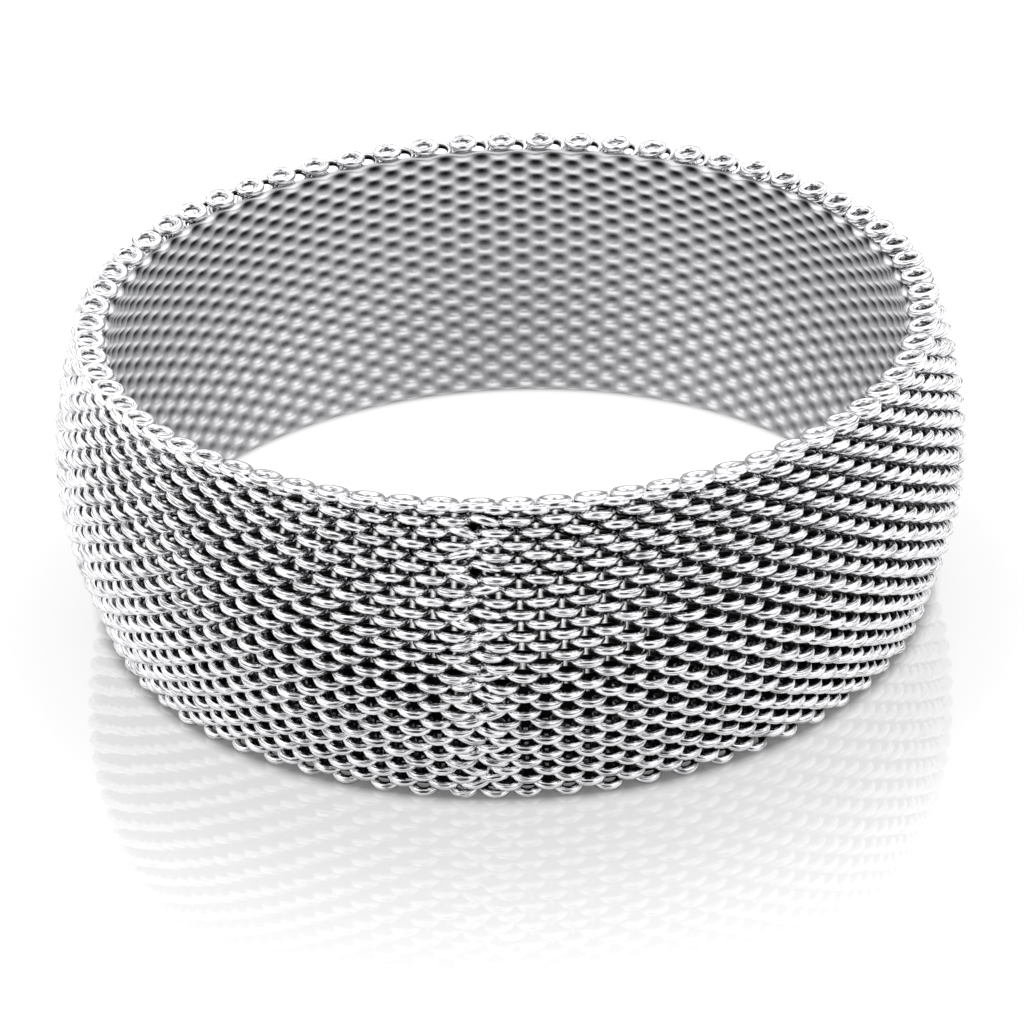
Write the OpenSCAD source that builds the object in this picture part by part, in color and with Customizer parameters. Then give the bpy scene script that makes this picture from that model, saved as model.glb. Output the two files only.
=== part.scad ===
// Mesh bracelet: a closed band woven from small round wire rings.
// The weave is one ring thick. Its rows lie one above the other like bricks, so the two
// outermost rows stand free as a scalloped edge. The band bulges a little at half its height.
// Millimetres, +Z up. The origin is the centre of the circle that the bracelet rests on.

/* [Band] */
// Outside diameter of the band at its fullest height
widest_d = 70; // [56:0.5:84]
// Overall height, edge rings included
height = 24; // [20:0.5:40]
// Radius of the bulge, measured on the middle of the wall
crown_r = 24; // [12:1:30]
// How far the wall leans inwards towards the upper edge, in degrees
upper_slope = 18; // [6:0.5:20]
// How far the wall leans inwards towards the lower edge, in degrees
lower_slope = 15.5; // [6:0.5:20]

/* [Rings] */
// Outside diameter of one wire ring, which is also the thickness of the weave
ring_d = 2.5; // [2:0.1:3.6]
// Thickness of the ring's wire
wire_d = 0.66; // [0.4:0.02:0.8]
// Smallest space between neighbouring rings of a row
ring_space = 0.35; // [0.15:0.05:0.6]
// Space between an edge row of rings and the weave next to it
row_space = 0.15; // [0.1:0.05:0.4]

/* [Hidden] */
$fn = 64;

// Radius of the centre line of a ring's wire
ring_r = (ring_d - wire_d) / 2;

// Height of the fullest place, and of the centres of the two edge rows. A leaning ring reaches
// above or below its centre by its own lean and half its wire.
crown_z = height / 2;
upper_row_z = height - ring_r * sin(upper_slope) - wire_d / 2;
lower_row_z = ring_r * sin(lower_slope) + wire_d / 2;

// Distance of the bulge's centre from the bracelet's axis
crown_x = widest_d / 2 - ring_d / 2 - crown_r;

// Length of the straight wall between the bulge and the centres of each edge row
upper_run = (upper_row_z - crown_z - crown_r * sin(upper_slope)) / cos(upper_slope);
lower_run = (crown_z - lower_row_z - crown_r * sin(lower_slope)) / cos(lower_slope);

// Distance of the centres of each edge row from the bracelet's axis
upper_row_x = crown_x + crown_r * cos(upper_slope) - upper_run * sin(upper_slope);
lower_row_x = crown_x + crown_r * cos(lower_slope) - lower_run * sin(lower_slope);

// As many rings as fit round the tighter of the two edges
rings_per_row = floor(2 * PI * min(upper_row_x, lower_row_x) / (ring_d + ring_space));

// What an edge row takes off the end of the weave
edge_row_share = wire_d / 2 + row_space;

// How far a cut reaches past what it cuts
cut_margin = 1;

// A point beside the bulge: r out from its centre at the given lean, then run along the wall,
// upwards or, where run is negative, downwards
function wall_point(r, lean, run) = [
    r * cos(lean) - run * sin(lean),
    r * sin(lean) + run * cos(lean)
];

// All that lies inside a wall face of radius r: its arc, run on straight at each end, as far
// as the edge rows leave room, and further by what beyond says
module area_inside(r, beyond) {
    reach = 2 * r;
    upper_end = upper_run - edge_row_share + beyond;
    lower_end = -(lower_run - edge_row_share + beyond);
    intersection() {
        circle(r = r);
        polygon([
            [0, 0],
            wall_point(reach, -lower_slope, 0),
            wall_point(reach, upper_slope, 0)
        ]);
    }
    polygon([
        wall_point(r, upper_slope, 0),
        wall_point(r, upper_slope, upper_end),
        wall_point(-beyond, upper_slope, upper_end),
        wall_point(-beyond, -lower_slope, lower_end),
        wall_point(r, -lower_slope, lower_end),
        wall_point(r, -lower_slope, 0)
    ]);
}

// Section of the weave, one ring thick
module weave_section() {
    translate([crown_x, crown_z])
        difference() {
            area_inside(crown_r + ring_d / 2, 0);
            area_inside(crown_r - ring_d / 2, cut_margin);
        }
}

// One round ring of wire, lying flat
module wire_ring() {
    rotate_extrude()
        translate([ring_r, 0])
            circle(d = wire_d);
}

// A row of rings round the bracelet. Each ring stands square to the wall and leans with it.
module ring_row(row_x, row_z, lean) {
    for (i = [0 : rings_per_row - 1])
        rotate([0, 0, 360 * i / rings_per_row])
            translate([row_x, 0, row_z])
                rotate([0, lean, 0])
                    wire_ring();
}

// The woven body of the bracelet, between its two edge rows
module mesh_band() {
    color("silver")
        rotate_extrude($fn = 180)
            weave_section();
}

// The topmost row of rings, seen as a scalloped edge
module upper_edge_rings() {
    color("gainsboro")
        ring_row(upper_row_x, upper_row_z, -upper_slope);
}

// The lowest row of rings, which the bracelet rests on
module lower_edge_rings() {
    color("gainsboro")
        ring_row(lower_row_x, lower_row_z, lower_slope);
}

mesh_band();
upper_edge_rings();
lower_edge_rings();
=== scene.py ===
# %% [markdown]
# # A mesh bracelet of steel wire rings
# This lesson dresses the CAD model of a closed mesh bracelet. On the real object the band is
# woven from about two thousand small rings of polished steel wire. The CAD model has the band's
# true form as one wall with an edge row of rings above and below. Here every ring is made.

import math

import bpy
import numpy as np
from mathutils import Matrix


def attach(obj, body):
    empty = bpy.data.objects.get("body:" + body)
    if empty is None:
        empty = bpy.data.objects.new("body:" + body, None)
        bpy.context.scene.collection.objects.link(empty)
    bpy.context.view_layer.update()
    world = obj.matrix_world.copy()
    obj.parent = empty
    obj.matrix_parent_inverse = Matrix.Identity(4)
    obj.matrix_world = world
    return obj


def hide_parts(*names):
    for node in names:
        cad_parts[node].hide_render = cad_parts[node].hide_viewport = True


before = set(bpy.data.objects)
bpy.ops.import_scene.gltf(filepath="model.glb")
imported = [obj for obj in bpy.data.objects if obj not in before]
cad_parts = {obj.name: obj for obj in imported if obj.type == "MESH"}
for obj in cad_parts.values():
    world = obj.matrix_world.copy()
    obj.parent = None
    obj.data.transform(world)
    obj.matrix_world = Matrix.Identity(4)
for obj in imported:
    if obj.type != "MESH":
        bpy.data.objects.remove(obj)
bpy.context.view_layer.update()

MM = 0.001

# %% [markdown]
# ## A few small helpers
# Colours are picked as they look on a screen, as hex values, but the renderer counts in linear
# light, so one function converts them. A second function adds a shader node, sets its values and
# links its inputs, which keeps each material short enough to read as a recipe. A third fills a
# colour ramp with greys. The last two put a finished mesh into the scene and keep one number
# for each of its points, which a material can read later.

# %% Helpers for colours, nodes and meshes
def linear(hex_colour):
    """Turn an sRGB hex colour into linear RGBA."""
    channels = [int(hex_colour[i:i + 2], 16) / 255 for i in (1, 3, 5)]
    curve = [c / 12.92 if c <= 0.04045 else ((c + 0.055) / 1.055) ** 2.4 for c in channels]
    return (*curve, 1.0)


def add_node(tree, kind, inputs=None, **settings):
    """Add a node, set its settings, and fill its inputs with values or with other outputs."""
    node = tree.nodes.new(kind)
    for name, value in settings.items():
        setattr(node, name, value)
    for name, value in (inputs or {}).items():
        if isinstance(value, bpy.types.NodeSocket):
            tree.links.new(value, node.inputs[name])
        else:
            node.inputs[name].default_value = value
    return node


def add_stops(ramp, stops):
    """Fill a colour ramp with greys, given as pairs of place and brightness."""
    elements = ramp.color_ramp.elements
    elements.remove(elements[-1])
    for number, (place, grey) in enumerate(stops):
        stop = elements[0] if number == 0 else elements.new(place)
        stop.position = place
        stop.color = (grey, grey, grey, 1.0)


def add_piece(name, mesh):
    """Put a mesh into the scene as an object of the same name."""
    piece = bpy.data.objects.new(name, mesh)
    bpy.context.collection.objects.link(piece)
    return piece


def store(mesh, name, values):
    """Keep one number for each point of a mesh."""
    stored = mesh.attributes.new(name, "FLOAT", "POINT")
    stored.data.foreach_set("value", values.astype(np.float32).ravel())


print("white paper is", [round(c, 3) for c in linear("#fafafa")])

# %% [markdown]
# ## The camera
# The camera stands in front of the join and looks down at the bracelet from about 28 degrees.
# Its angle, distance and lens were worked out from the rows of rings, whose size shrinks from
# the near wall to the far one. The camera was held a little askew, so it is turned by about two
# degrees round its own line of sight. It aims so that the bracelet's middle falls where it does
# in the picture: turning the camera keeps the perspective true, where a shift would not.

# %% Place the camera
HEIGHT = 24.0
LOOK_DOWN = math.radians(27.582)
CAMERA_DISTANCE = 219.592  # mm from the bracelet's middle
FRAME_PIXELS = 1024
FOCAL_PIXELS = 2831.2  # the lens, in pixels of the picture
MIDDLE_IN_FRAME = (510.4, 429.5)  # pixels from the left and the top
CAMERA_ROLL = math.radians(-2.115)
SENSOR_MM = 36.0
CLIP_START_MM = 5

away = np.array([0.0, -math.cos(LOOK_DOWN), math.sin(LOOK_DOWN)])
level_right = np.array([1.0, 0.0, 0.0])
level_up = np.cross(level_right, -away)
rolled_right = math.cos(CAMERA_ROLL) * level_right + math.sin(CAMERA_ROLL) * level_up
rolled_up = math.cos(CAMERA_ROLL) * level_up - math.sin(CAMERA_ROLL) * level_right

aside = (MIDDLE_IN_FRAME[0] - FRAME_PIXELS / 2) / FOCAL_PIXELS
above = (FRAME_PIXELS / 2 - MIDDLE_IN_FRAME[1]) / FOCAL_PIXELS
sight = -away - aside * rolled_right - above * rolled_up
sight /= np.linalg.norm(sight)
right = rolled_right - np.dot(rolled_right, sight) * sight
right /= np.linalg.norm(right)
up = np.cross(right, sight)
place = away * CAMERA_DISTANCE + np.array([0.0, 0.0, HEIGHT / 2])

camera_data = bpy.data.cameras.new("studio_camera")
camera_data.sensor_fit = "HORIZONTAL"
camera_data.sensor_width = SENSOR_MM
camera_data.lens = SENSOR_MM * FOCAL_PIXELS / FRAME_PIXELS
camera_data.clip_start = CLIP_START_MM * MM
camera = bpy.data.objects.new("studio_camera", camera_data)
camera.matrix_world = Matrix([
    (right[axis], up[axis], -sight[axis], place[axis] * MM) for axis in range(3)
] + [(0, 0, 0, 1)])
bpy.context.collection.objects.link(camera)
bpy.context.scene.camera = camera
print("lens", round(camera_data.lens, 1), "mm, camera at", place.round(1), "mm")

# %% [markdown]
# ## The wall that the rings lie in
# Seen from the side the band bulges a little at half its height. Its section is an arc that runs
# on straight at both ends. The measures are those of the CAD model, so the weave lies exactly
# where the solid wall is. One function walks down the wall from the top row to the bottom row and
# gives the place and the lean of any row on the way.

# %% Measures of the band
WIDEST = 70.0
CROWN_RADIUS = 24.0  # of the bulge, on the middle of the wall
UPPER_SLOPE = math.radians(18.0)
LOWER_SLOPE = math.radians(15.5)
RING_D = 2.5
WIRE_D = 0.66
RING_R = (RING_D - WIRE_D) / 2  # of the wire's centre line

top_z = HEIGHT - RING_R * math.sin(UPPER_SLOPE) - WIRE_D / 2
bottom_z = RING_R * math.sin(LOWER_SLOPE) + WIRE_D / 2
crown_z = HEIGHT / 2
crown_x = WIDEST / 2 - RING_D / 2 - CROWN_RADIUS
upper_run = (top_z - crown_z - CROWN_RADIUS * math.sin(UPPER_SLOPE)) / math.cos(UPPER_SLOPE)
lower_run = (crown_z - bottom_z - CROWN_RADIUS * math.sin(LOWER_SLOPE)) / math.cos(LOWER_SLOPE)
arc_run = CROWN_RADIUS * (UPPER_SLOPE + LOWER_SLOPE)
wall_run = upper_run + arc_run + lower_run


def wall_at(run):
    """Distance from the axis, height and outward lean of the wall, run mm below its top row."""
    lean = np.clip((run - upper_run) / CROWN_RADIUS - UPPER_SLOPE, -UPPER_SLOPE, LOWER_SLOPE)
    straight = np.minimum(run - upper_run, 0) + np.maximum(run - upper_run - arc_run, 0)
    from_axis = crown_x + CROWN_RADIUS * np.cos(lean) - straight * np.sin(lean)
    z = crown_z - CROWN_RADIUS * np.sin(lean) - straight * np.cos(lean)
    return from_axis, z, lean


middle_radius = wall_at(wall_run / 2)[0]
print("wall from row to row:", round(wall_run, 2), "mm, middle at", round(middle_radius, 2))

# %% [markdown]
# ## Where each ring lies
# Every row has 68 rings, and each row is set about half a ring aside from the row above it, like
# bricks. The rings are not spaced quite evenly. Where the band was closed, a little left of the
# middle of the front, they are pushed together, most of all in the upper rows, and on the left
# they lie a little apart. The ring in the join stands askew, and the two beside it lie about one
# and a half ring spacings apart. A share of a sine of the angle does the crowding: the spacing
# is narrowest at the join and widest behind.

# %% Lay out the rings
ROWS = 31
PER_ROW = 68
JOIN_EVEN = math.radians(-3.5)  # place of the join in rows 0, 2, 4 and so on
JOIN_ODD = math.radians(-5.95)  # and in the rows between
JOIN_PITCHES = 1.57  # from the ring before the join to the one after it, in ring spacings
EDGE_JOIN_PITCHES = 2.0  # and in the topmost row, where the join leaves no mark
CROWDING = (0.10, 0.07, 0.04)  # in the top, middle and bottom row
EDGE_CROWDING = 0.14  # in the topmost row, whose rings are free to slide
EDGE_TURN = math.radians(-0.6)  # the topmost row's own small turn
LEFT_STRETCH = 0.019  # how far apart the rings on the left lie


def crowding(down):
    """How much the rings of a row crowd towards the join; down runs from 0 to 1."""
    top, middle, bottom = CROWDING
    return (top * (1 - down) * (1 - 2 * down) + 4 * middle * down * (1 - down)
            + bottom * down * (2 * down - 1))


def ring_angles(row):
    """Angles round the bracelet of a row's rings, 0 at the front; the first is in the join."""
    share = EDGE_CROWDING if row == 0 else crowding(row / (ROWS - 1))
    pitches = EDGE_JOIN_PITCHES if row == 0 else JOIN_PITCHES
    step = 2 * math.pi / (PER_ROW - 2 + pitches)
    turn = np.arange(PER_ROW - 1) * step + pitches * step / 2
    turn = np.concatenate([[0.0], turn])
    join = JOIN_ODD if row % 2 else JOIN_EVEN
    join += EDGE_TURN if row == 0 else 0
    return join + turn - share * np.sin(turn) - LEFT_STRETCH * (1 - np.cos(turn))


pitch = np.degrees(np.diff(ring_angles(ROWS // 2)))[1]
print("ring spacing beside the join, halfway down:", round(float(pitch), 2), "degrees")

# %% [markdown]
# ## How each ring stands
# Each ring stands square to the wall, but real rings are never quite true. Each gets a small
# seeded turn and shift. The rings in the join are turned more. All are rolled a little to one
# side, most on the left, and those between the two edge rows are slightly oval along their row.
# The topmost row hangs free: it sags in front and leans at the back. Two more numbers go with
# each ring. The slot light says how much of the lit inside shines out past its inner bend, in
# the upper rows only. The free share is the extra polish of the topmost row, which the mop
# reaches from all sides. It also lightens the painted shade of that row.

# %% Set up each ring
WOBBLE = math.radians(1.6)  # spread of the seeded turns
SHIFT = 0.03  # spread of the seeded shifts, mm
EDGE_WOBBLE = 0.3  # share of the seeded turns in the two edge rows
JOIN_TURN = math.radians(11)  # further turn of the ring in the join
ROLL = math.radians(2.6)  # of all rings
LEFT_ROLL = math.radians(17)  # further roll on the left
LEFT_FADE = 1.5  # how fast that fades towards the front and the back
EDGE_ROLL = 0.5  # share of the roll in the two edge rows
RIM_SAG = 0.55  # of the topmost row in front, mm
RIM_TILT = math.radians(15)  # of the topmost row at the back
OVAL = 1.08  # stretch of a ring along its row
SLOT_ROWS = (14, 23)  # full light down to the first of these rows, none from the second
EDGE_POLISH_AND_LIGHT = 0.9  # further reach of the polish in the topmost row, which also lightens its painted shade
chance = np.random.default_rng(7)  # seeded, so every run makes the same rings


def turned(first, second, angle):
    """Turn two square directions within their plane by one angle per ring."""
    cos, sin = np.cos(angle)[:, None], np.sin(angle)[:, None]
    return first * cos + second * sin, second * cos - first * sin


def row_rings(row):
    """Centres and directions of the rings in a row, with their slot light and free share."""
    from_axis, z, lean = wall_at(wall_run * row / (ROWS - 1))
    angle = ring_angles(row)
    level = np.stack([np.sin(angle), -np.cos(angle), 0 * angle], axis=1)
    along = np.stack([np.cos(angle), np.sin(angle), 0 * angle], axis=1)
    upright = np.array([0.0, 0.0, 1.0])
    wall_out = level * math.cos(lean) - upright * math.sin(lean)
    wall_up = level * math.sin(lean) + upright * math.cos(lean)
    centre = level * from_axis + upright * z
    sway = chance.normal(size=(4, PER_ROW))
    edge = row in (0, ROWS - 1)
    if not edge:
        sway[0, 0] += JOIN_TURN / WOBBLE
        sway[1, 0] += (JOIN_TURN if row % 4 < 2 else -JOIN_TURN) / WOBBLE
    lift = WOBBLE * sway[0] * (EDGE_WOBBLE if edge else 1)
    if row == 0:
        lift -= RIM_TILT * (1 - np.cos(angle)) / 2
        centre -= wall_up * (RIM_SAG * (1 + np.cos(angle)) / 2)[:, None]
    out, high = turned(wall_out, wall_up, lift)
    roll = WOBBLE * sway[1] * (EDGE_WOBBLE if edge else 1)
    roll -= ROLL + LEFT_ROLL * np.maximum(-np.sin(angle), 0) ** LEFT_FADE
    side, high = turned(along, high, roll * (EDGE_ROLL if edge else 1))
    centre += wall_out * (SHIFT * sway[2])[:, None]
    if not edge:
        centre += wall_up * (SHIFT * sway[3])[:, None]
    fading = (SLOT_ROWS[1] - row) / (SLOT_ROWS[1] - SLOT_ROWS[0])
    slot = np.full(PER_ROW, min(max(fading, 0), 1))
    free = np.full(PER_ROW, EDGE_POLISH_AND_LIGHT * (row == 0))
    side *= 1 if edge else OVAL
    return centre, side, out, high, wall_out, slot * (not edge), free


print("rolled by", round(math.degrees(ROLL), 1), "to", round(math.degrees(ROLL + LEFT_ROLL), 1))

# %% [markdown]
# ## Sweep the wire
# The wire's round section is swept round every ring of a band of rows at once, with numpy. How
# well the polishing mop reaches a point is stored with it, and the same number paints the shade
# between the rings: best reach and least painted shade on the outside of each ring, worst reach
# and darkest painted shade on the side that faces its hole. The bend towards the wall's face gets
# a little more than the two tips along the row.

# %% Points of the rings
AROUND = 20  # steps round a ring
SECTION = 8  # steps round the wire
FACE_SHARE = 0.55  # further reach of the polish, and less painted shade, on the bends at the wall's faces
TIP_SHARE = 0.40  # and on the tips along the row
SLOT_SIDE = 0.3  # limit of the inner side of the wire, as a cosine


def ring_points(rows):
    """Points of all rings in the given rows, the reach of the polish with its painted shade, and
    the slot light.
    """
    centre, side, out, high, wall_out, slot, free = (
        np.concatenate(part) for part in zip(*(row_rings(row) for row in rows)))
    turn = np.arange(AROUND) * 2 * math.pi / AROUND
    roll = (np.arange(SECTION) + 0.5) * 2 * math.pi / SECTION
    spoke = (side[:, None] * np.cos(turn)[None, :, None]
             + out[:, None] * np.sin(turn)[None, :, None])
    middle = spoke * RING_R
    skin = (spoke[:, :, None] * np.cos(roll)[None, None, :, None]
            + high[:, None, None] * np.sin(roll)[None, None, :, None]) * WIRE_D / 2
    offset = middle[:, :, None] + skin
    points = centre[:, None, None] + offset
    depth = np.einsum("rabx,rx->rab", offset, wall_out) / RING_R
    face = np.minimum(depth ** 2, 1.0)
    # This number also paints shade: the side of the wire that faces the hole and the tips between
    # the rings get a darker colour.
    polish_and_painted_light = np.cos(roll)[None, None, :] + TIP_SHARE + (FACE_SHARE - TIP_SHARE) * face
    polish_and_painted_light += free[:, None, None]
    inner_bend = (np.arange(AROUND) == AROUND * 3 // 4)[None, :, None]
    lit = slot[:, None, None] * inner_bend * (np.cos(roll) < SLOT_SIDE)[None, None, :]
    return points, polish_and_painted_light, lit


print("one ring has", AROUND * SECTION, "points on a wire of", WIRE_D, "mm")

# %% [markdown]
# ## Rings as one joined mesh
# A torus for each ring could be placed two thousand times as an object, or scattered with
# Geometry Nodes. A joined mesh per band of rows is lighter for Blender and easy to export. A UV
# map runs along the wire and round it, so that the die lines follow the wire. It starts at a
# different place on each ring.

# %% Build rings in bulk
MAP_SPREAD = 7  # turns over which the seeded starts are spread


def wire_uv(mesh, count):
    """A UV map with u along the wire and v round it, from a seeded start on each ring."""
    corner_turn = np.array([0, 1, 1, 0])
    corner_roll = np.array([0, 0, 1, 1])
    start = chance.random((count, 1, 1, 1)) * MAP_SPREAD
    u = (np.arange(AROUND)[None, :, None, None] + corner_turn) / AROUND + start
    v = (np.arange(SECTION)[None, None, :, None] + corner_roll) / SECTION + start
    u, v = np.broadcast_arrays(u, v)
    wire_map = mesh.uv_layers.new(name="wire")
    wire_map.data.foreach_set("uv", np.stack([u, v], -1).astype(np.float32).ravel())


def ring_mesh(name, rows):
    """One joined mesh of all rings in the given rows."""
    points, polish_and_painted_light, lit = ring_points(rows)
    count = len(points)
    index = np.arange(count * AROUND * SECTION).reshape(count, AROUND, SECTION)
    ahead = np.roll(index, -1, axis=1)
    faces = np.stack([index, ahead, np.roll(ahead, -1, axis=2), np.roll(index, -1, axis=2)], -1)
    faces = faces.reshape(-1, 4)
    mesh = bpy.data.meshes.new(name)
    mesh.vertices.add(points.size // 3)
    mesh.vertices.foreach_set("co", (points * MM).ravel())
    mesh.loops.add(faces.size)
    mesh.loops.foreach_set("vertex_index", faces.ravel().astype(np.int32))
    mesh.polygons.add(len(faces))
    mesh.polygons.foreach_set("loop_start", np.arange(0, faces.size, 4, dtype=np.int32))
    mesh.update(calc_edges=True)
    mesh.shade_smooth()
    store(mesh, "polish_and_painted_light", polish_and_painted_light)
    store(mesh, "slot", lit)
    wire_uv(mesh, count)
    print(name, count, "rings,", len(faces) * 2, "triangles")
    return add_piece(name, mesh)


print("a band of 8 rows will have", 8 * PER_ROW * AROUND * SECTION * 2, "triangles")

# %% [markdown]
# ## The woven body and its two edges
# The inner 29 rows stand for the solid band, in four pieces so that none gets too heavy. The top
# and the bottom row stand for the two rows of edge rings, which end the mesh in small scallops.

# %% Make all rows
body_rows = [range(1, 9), range(9, 16), range(16, 23), range(23, 30)]
woven_body = [ring_mesh(f"woven_body_{i + 1}", rows) for i, rows in enumerate(body_rows)]
upper_scallops = ring_mesh("upper_scallops", [0])
lower_scallops = ring_mesh("lower_scallops", [ROWS - 1])

# %% [markdown]
# ## The depth of the weave
# Little light comes through the real mesh: behind the rings, where its wires hook into each
# other, it is nearly closed. Those wires can't be told apart in the picture, so they are made as
# one thin closed layer. Outside it is smooth, and its colour is painted dark as the shade between
# the rings, the black between them. Inside it rises and falls like an egg carton: a bump on each
# ring's inner bend and a hollow between every two of them. The product of two cosines gives such
# a field. In the upper rows the hollows are deep, and further down they get shallow while the
# bumps get narrower, because the wall leans the other way there and more of each inner bend comes
# into view.

# %% Bumps on the inside
BUMP_DROP = 0.6  # rows by which the inner bends hang below the middle of their rings
LOWER_DROP = 0.35  # and the rows that this grows by towards the bottom
FLATTENED = 0.6  # share of its depth that a hollow loses towards the bottom
SHARPER_DOWN = (0.8, 0.5)  # how much narrower hollows and bumps get towards the bottom
ROUNDS = 3  # of working back from an angle to the turn that ring_angles starts from


def bumps(angle, row):
    """Height of the bumps, from -1 in a hollow to 1 on the inner bend of a ring."""
    share = crowding(row / (ROWS - 1))
    step = 2 * math.pi / (PER_ROW - 2 + JOIN_PITCHES)
    from_join = np.mod(angle - JOIN_EVEN, 2 * math.pi)
    turn = from_join
    for _ in range(ROUNDS):
        turn = from_join + share * np.sin(turn) + LEFT_STRETCH * (1 - np.cos(turn))
    half_pitches = 2 * turn / step - JOIN_PITCHES
    drop = BUMP_DROP + LOWER_DROP * row / ROWS
    height = np.cos(math.pi * half_pitches) * np.cos(math.pi * (row - drop))
    down = row / ROWS
    hollow = -np.maximum(-height, 0) ** (1 + SHARPER_DOWN[0] * down) * (1 - FLATTENED * down)
    return hollow + np.maximum(height, 0) ** (1 + SHARPER_DOWN[1] * down)


print("bumps 2 rows apart:", round(2 * wall_run / (ROWS - 1), 2), "mm")

# %% [markdown]
# ## Turn the inner layer
# The layer is turned like a bowl on a wheel: its section goes down the outer face and up the
# inner one, and the points of the inner face are pushed in or out by the bumps. Its upper edge
# follows the topmost row, which sags in front. Its lower edge comes outwards behind the last
# rows as a dark foot, painted shade, so that the lit floor doesn't show through their rings. The
# height of the bumps is stored as the reach of the polish, which also paints a highlight on each
# bump and shade in each hollow.

# %% Make the inner layer
LAYER_TURNS = 612  # steps round the bracelet, nine to a ring
OUTER_STEPS = 14  # steps down the outer face
INNER_STEPS = 142  # steps up the inner face
LAYER_TOP = (1.0, 0.15)  # row of the upper edge, in front and at the back
LAYER_BOTTOM = ROWS - 0.3  # row of the lower edge
LAYER_OUTER = 0.98  # depth of the outer face behind the middle of the wall, mm
LAYER_INNER = 1.46  # mean depth of the inner face, mm
BUMP_HEIGHT = 0.20  # of the bumps above that mean depth and of the hollows below it, mm
TOP_EDGE = (0.004, 0.3)  # width of the upper edge and its reach of the polish, which also sets its painted brightness
SHADE_FOOT_FROM = 28.5  # row from which the outer face comes outwards as a dark foot of painted shade
SHADE_FOOT = 0.75  # how far it comes, mm


def hooked_layer():
    """A thin closed shell, smooth on its outer face and covered with bumps on its inner one."""
    angle = np.arange(LAYER_TURNS) * 2 * math.pi / LAYER_TURNS
    front = (1 + np.cos(angle)) / 2
    top = LAYER_TOP[0] * front + LAYER_TOP[1] * (1 - front)
    outer_down = np.linspace(TOP_EDGE[0], 1, OUTER_STEPS - 1)
    down = np.concatenate([[0.0], outer_down, np.linspace(1, 0, INNER_STEPS)])
    rings, polish_and_painted_light = [], []
    for step, share in enumerate(down):
        row = top + (LAYER_BOTTOM - top) * share
        from_axis, z, lean = wall_at(wall_run * row / (ROWS - 1))
        height = bumps(angle, row) if step >= OUTER_STEPS else -1 + 0 * angle
        shade_foot = SHADE_FOOT * np.clip((row - SHADE_FOOT_FROM) / (LAYER_BOTTOM - SHADE_FOOT_FROM), 0, 1)
        base = LAYER_INNER if step >= OUTER_STEPS else LAYER_OUTER + BUMP_HEIGHT - shade_foot
        depth = base + BUMP_HEIGHT * height
        out = from_axis - depth * np.cos(lean)
        rings.append(np.stack([out * np.sin(angle), -out * np.cos(angle),
                               z + depth * np.sin(lean)], -1))
        # The stored height also paints light: a highlight on each bump, shade in each hollow and
        # on the dark outer face.
        polish_and_painted_light.append(height if step else TOP_EDGE[1] + 0 * angle)
    points = np.stack(rings, 1)
    index = np.arange(points.size // 3).reshape(points.shape[:2])
    ahead = np.roll(index, -1, axis=0)
    faces = np.stack([index, np.roll(index, -1, axis=1), np.roll(ahead, -1, axis=1), ahead], -1)
    mesh = bpy.data.meshes.new("hooked_layer")
    mesh.from_pydata(points.reshape(-1, 3) * MM, [], faces.reshape(-1, 4).tolist())
    mesh.shade_smooth()
    store(mesh, "polish_and_painted_light", np.stack(polish_and_painted_light, 1))
    print("hooked layer:", len(mesh.polygons) * 2, "triangles")
    return add_piece("hooked_layer", mesh)


inner_layer = hooked_layer()

# %% [markdown]
# ## Polished stainless steel wire
# The wire is drawn through dies and the finished mesh is polished. That gives the eye hard white
# and black reflections on the crowns of the rings. Between the rings the mop doesn't reach, so
# the wire is rougher there, and its colour is painted dark grey as painted shade, so the depths
# of the mesh look black. The stored reach mixes the two finishes and paints that shade. Inside
# the bracelet the wire is duller, because the mop hardly gets there. There the reach is the
# height of the bumps, so each inner bend gets a soft bright spot, a painted highlight, and each
# hollow stays dark, as painted shade.

# %% The wire's finish
def stainless_wire(name, dull_and_shaded, bright_and_lit, roughness, reach_and_painted_light_range):
    """Wire whose finish and painted light run from dull and shaded to bright and lit with the
    stored reach.
    """
    steel = bpy.data.materials.new(name)
    steel.use_nodes = True
    tree = steel.node_tree
    shader = tree.nodes["Principled BSDF"]
    shader.inputs["Metallic"].default_value = 1.0
    polish_and_painted_light = add_node(tree, "ShaderNodeAttribute", attribute_name="polish_and_painted_light")
    reach_and_painted_light = add_node(tree, "ShaderNodeMapRange", {
        "Value": polish_and_painted_light.outputs["Fac"], "From Min": reach_and_painted_light_range[0], "From Max": reach_and_painted_light_range[1],
    }, interpolation_type="SMOOTHSTEP")
    colour = add_node(tree, "ShaderNodeMix", {
        "Factor": reach_and_painted_light.outputs[0],
        "A": linear(dull_and_shaded), "B": linear(bright_and_lit),
    }, data_type="RGBA")
    gloss = add_node(tree, "ShaderNodeMapRange", {
        "Value": reach_and_painted_light.outputs[0], "To Min": roughness[0], "To Max": roughness[1],
    })
    tree.links.new(colour.outputs["Result"], shader.inputs["Base Color"])
    tree.links.new(gloss.outputs[0], shader.inputs["Roughness"])
    return steel, reach_and_painted_light, colour


# The dark colour is the painted shade between the rings, the light one the polished crowns.
steel_wire, reach_and_painted_light, colour = stainless_wire(
    "polished_stainless_wire_with_painted_shade", dull_and_shaded="#2a2a2c", bright_and_lit="#f2f2f4",
    roughness=(0.45, 0.10), reach_and_painted_light_range=(-0.48, 0.12))
# Inside, the light colour paints a highlight on each bump and the dark one paints shade in each
# hollow and on the outer face.
inner_wire = stainless_wire(
    "stainless_wire_inside_with_painted_light", dull_and_shaded="#1c1c1e", bright_and_lit="#f6f6f8",
    roughness=(0.6, 0.42), reach_and_painted_light_range=(-0.93, 0.85))[0]
print("finishes:", steel_wire.name, "and", inner_wire.name)

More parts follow.
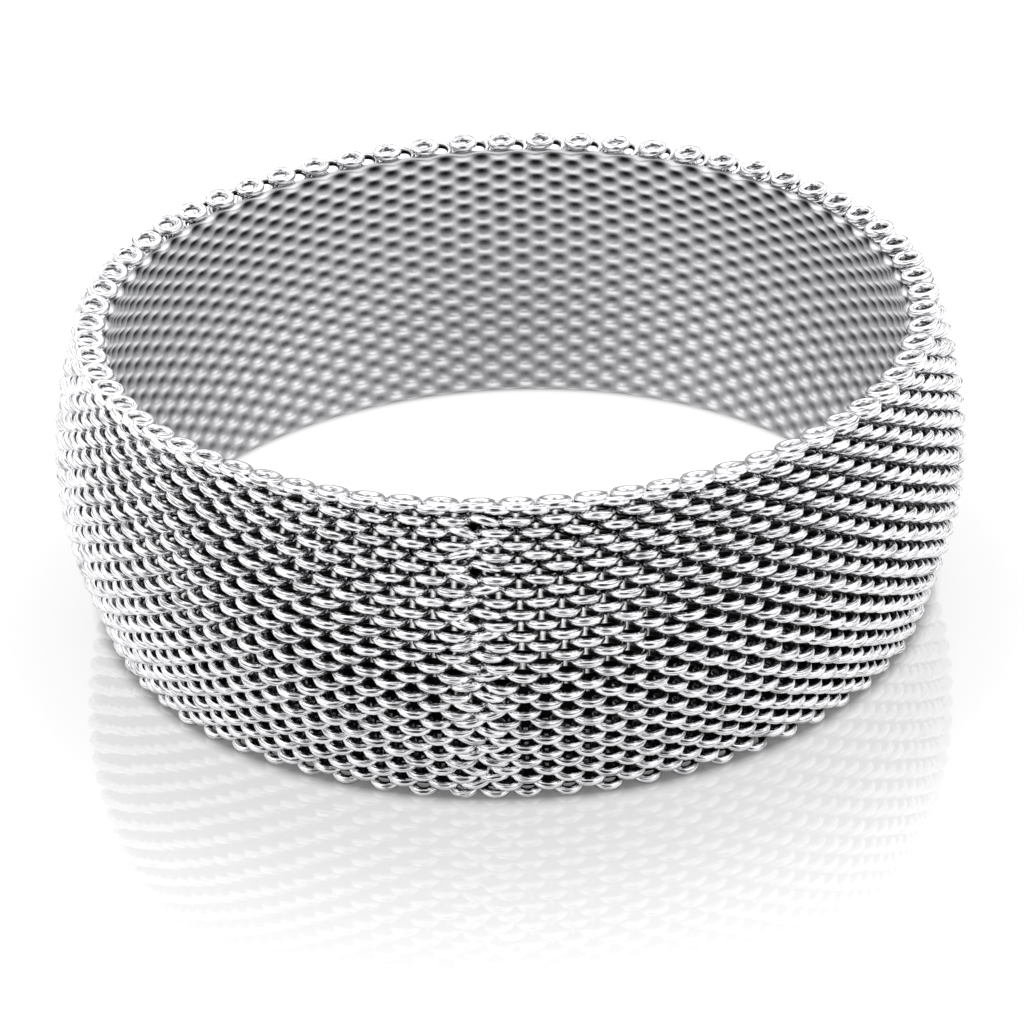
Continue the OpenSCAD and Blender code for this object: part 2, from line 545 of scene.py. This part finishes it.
# %% [markdown]
# ## Die lines and the light in the slots
# A die leaves fine lines along the wire: real ones are a few hundredths of a millimetre wide,
# and here they are drawn as wide as they need to be to show. Noise that is stretched along the
# wire on the UV map gives them. It makes the polish fainter in a line and bends the reflection
# there, so each highlight breaks into streaks. In the upper rows some light from the inside
# shines out past the inner bends, where the real weave has its slots. The layer behind closes
# those, so the bends get a glow of their own instead.

# %% Finish the polished wire
WIRE_LENGTH = 2 * math.pi * RING_R
WIRE_GIRTH = math.pi * WIRE_D
DIE_LINE_LENGTH = 1.2  # mm
DIE_LINE_WIDTH = 0.13  # mm
DIE_LINE_DEPTH = 0.03  # mm
GROOVE_DULLNESS = 0.7  # how much of the polish a groove loses
GROOVE_NOISE = (0.52, 0.68)  # noise values from which a line starts and is at its deepest
SLOT_LIGHT = 0.9  # strength of the glow at full slot light


def add_slot_light(steel):
    """Let the wire glow by the stored slot light."""
    shader = steel.node_tree.nodes["Principled BSDF"]
    slot = add_node(steel.node_tree, "ShaderNodeAttribute", attribute_name="slot")
    through = add_node(steel.node_tree, "ShaderNodeMath", {
        0: slot.outputs["Fac"], 1: SLOT_LIGHT,
    }, operation="MULTIPLY")
    shader.inputs["Emission Color"].default_value = linear("#ffffff")
    steel.node_tree.links.new(through.outputs[0], shader.inputs["Emission Strength"])


def add_die_lines(steel, reach_and_painted_light, colour):
    """Draw die lines along the wire, in its polish and in its surface."""
    tree = steel.node_tree
    wire = add_node(tree, "ShaderNodeUVMap", uv_map="wire")
    stretch = add_node(tree, "ShaderNodeMapping", {
        "Vector": wire.outputs["UV"],
        "Scale": (WIRE_LENGTH / DIE_LINE_LENGTH, WIRE_GIRTH / DIE_LINE_WIDTH, 1.0),
    })
    lines = add_node(tree, "ShaderNodeTexNoise", {
        "Vector": stretch.outputs["Vector"], "Scale": 1.0, "Detail": 2.0,
    }, noise_dimensions="2D")
    grooves = add_node(tree, "ShaderNodeMapRange", {
        "Value": lines.outputs["Fac"], "From Min": GROOVE_NOISE[0], "From Max": GROOVE_NOISE[1],
        "To Min": 1.0, "To Max": 1.0 - GROOVE_DULLNESS,
    })
    ground = add_node(tree, "ShaderNodeMath", {0: reach_and_painted_light.outputs[0], 1: grooves.outputs[0]},
                      operation="MULTIPLY")
    tree.links.new(ground.outputs[0], colour.inputs["Factor"])
    bump = add_node(tree, "ShaderNodeBump", {
        "Height": lines.outputs["Fac"], "Strength": 1.0, "Distance": DIE_LINE_DEPTH * MM,
    })
    tree.links.new(bump.outputs["Normal"], tree.nodes["Principled BSDF"].inputs["Normal"])


add_slot_light(steel_wire)
add_die_lines(steel_wire, reach_and_painted_light, colour)
pieces = woven_body + [upper_scallops, lower_scallops]
for piece in pieces:
    piece.data.materials.append(steel_wire)
inner_layer.data.materials.append(inner_wire)
pieces.append(inner_layer)
print("die lines", DIE_LINE_WIDTH, "mm wide on a girth of", round(WIRE_GIRTH, 2), "mm")

# %% [markdown]
# ## A glossy white floor
# The bracelet stands on a sheet of glossy white acrylic, lit from below as on a light table. Its
# gloss shows the bracelet again, faintly. The glow also paints light and shade: it drops to a
# painted shadow right under the edge that the bracelet rests on, stays dimmer round the bracelet
# as painted shade, and grows outwards, so the mirror image fades away from the mesh. The sheet
# itself is grey, because its brightness comes from below.
# Acrylic has an IOR of about 1.5. A higher one makes the mirror image stronger, as it is in the
# picture.

# %% Lay the floor
FLOOR_SIZE = 3.0  # metres from the middle to each side
FLOOR_ROUGHNESS = 0.012
FLOOR_IOR = 1.8
TABLE_REACH = 100  # mm from the middle that the glow's ramp covers
# Pairs of distance from the middle in mm and brightness. The dip from 31 to 32.4 mm is a painted
# shadow under the bracelet's edge, and the dimmer glow out to 40 mm is painted shade round it.
TABLE_GLOW_AND_PAINTED_SHADOW = ((30.2, 0.90), (31, 0.15), (32.4, 0.15), (33.4, 0.62), (40, 0.66), (56, 0.90))
corners = [(-1, -1), (1, -1), (1, 1), (-1, 1)]
floor_mesh = bpy.data.meshes.new("acrylic_floor")
floor_points = [(x * FLOOR_SIZE, y * FLOOR_SIZE, 0) for x, y in corners]
floor_mesh.from_pydata(floor_points, [], [(0, 1, 2, 3)])
floor = add_piece("acrylic_floor", floor_mesh)
acrylic = bpy.data.materials.new("polished_white_acrylic")
acrylic.use_nodes = True
sheet = acrylic.node_tree.nodes["Principled BSDF"]
sheet.inputs["Base Color"].default_value = linear("#707070")
sheet.inputs["Roughness"].default_value = FLOOR_ROUGHNESS
sheet.inputs["IOR"].default_value = FLOOR_IOR
sheet.inputs["Emission Color"].default_value = linear("#ffffff")
position = add_node(acrylic.node_tree, "ShaderNodeTexCoord")
distance = add_node(acrylic.node_tree, "ShaderNodeVectorMath", {0: position.outputs["Object"]},
                    operation="LENGTH")
share = add_node(acrylic.node_tree, "ShaderNodeMapRange", {
    "Value": distance.outputs["Value"], "From Max": TABLE_REACH * MM,
})
glow_and_painted_shadow = add_node(acrylic.node_tree, "ShaderNodeValToRGB", {"Fac": share.outputs[0]})
add_stops(glow_and_painted_shadow, [(mm / TABLE_REACH, strength) for mm, strength in TABLE_GLOW_AND_PAINTED_SHADOW])
acrylic.node_tree.links.new(glow_and_painted_shadow.outputs["Color"], sheet.inputs["Emission Strength"])
floor_mesh.materials.append(acrylic)
print("floor", FLOOR_SIZE * 2, "m wide")

# %% [markdown]
# ## Light from a tent
# Polished metal shows what stands round it, so it is lit by surfaces and not by lamps. The usual
# set-up is a tent of white cloth with an opening for the camera. The rings mirror the cloth as
# white and the opening as small dark lenses in their middle. A dark gap above the table and a
# seam below the roof draw fine lines along every wire. Here the world is the tent: a ramp gives
# its brightness by height, and a soft-edged dark opening lies round the camera.

# %% Make the tent
ROOF_LIGHT = 1.7
WALL_LIGHT = 1.55
SEAM_LIGHT = 0.8
GAP_LIGHT = 0.6
OPENING_LIGHT = 0.08
OPENING_UP = math.radians(24)  # height of the opening's middle above the horizon
OPENING_INNER = math.radians(16)  # from its middle to where it starts to get lighter
OPENING_OUTER = math.radians(39)  # from its middle to the full light of the cloth
# Pairs of height above the horizon in degrees and brightness.
HEIGHTS = (
    (-2, WALL_LIGHT), (3, GAP_LIGHT), (13, GAP_LIGHT), (22, WALL_LIGHT), (56, WALL_LIGHT),
    (63, SEAM_LIGHT), (67, SEAM_LIGHT), (74, ROOF_LIGHT),
)

tent = bpy.data.worlds.new("white_light_tent")
bpy.context.scene.world = tent
tent.use_nodes = True
tree = tent.node_tree
tree.nodes.clear()
direction = add_node(tree, "ShaderNodeTexCoord")
height = add_node(tree, "ShaderNodeSeparateXYZ", {"Vector": direction.outputs["Generated"]})
share = add_node(tree, "ShaderNodeMapRange", {"Value": height.outputs["Z"], "From Min": -1.0})
walls = add_node(tree, "ShaderNodeValToRGB", {"Fac": share.outputs[0]})
add_stops(walls, [
    ((math.sin(math.radians(degrees)) + 1) / 2, brightness / ROOF_LIGHT)
    for degrees, brightness in HEIGHTS
])
towards = add_node(tree, "ShaderNodeVectorMath", {
    0: direction.outputs["Generated"],
    1: (0.0, -math.cos(OPENING_UP), math.sin(OPENING_UP)),
}, operation="DOT_PRODUCT")
closed = add_node(tree, "ShaderNodeMapRange", {
    "Value": towards.outputs["Value"],
    "From Min": math.cos(OPENING_OUTER), "From Max": math.cos(OPENING_INNER),
    "To Min": ROOF_LIGHT, "To Max": OPENING_LIGHT,
}, interpolation_type="SMOOTHSTEP")
light = add_node(tree, "ShaderNodeMath", {0: walls.outputs["Color"], 1: closed.outputs[0]},
                 operation="MULTIPLY")
cloth = add_node(tree, "ShaderNodeBackground", {
    "Color": linear("#ffffff"), "Strength": light.outputs[0],
})
add_node(tree, "ShaderNodeOutputWorld", {"Surface": cloth.outputs[0]})
bpy.context.scene.view_settings.view_transform = "Standard"
print("tent from below to above:", HEIGHTS)

# %% [markdown]
# ## Put the pieces in place of the CAD parts
# The bracelet has one body. The floor isn't part of it.

# %% Name each piece's place
for piece in woven_body + [inner_layer]:
    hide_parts("mesh_band")
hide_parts("upper_edge_rings")
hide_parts("lower_edge_rings")
for piece in pieces:
    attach(piece, "root")
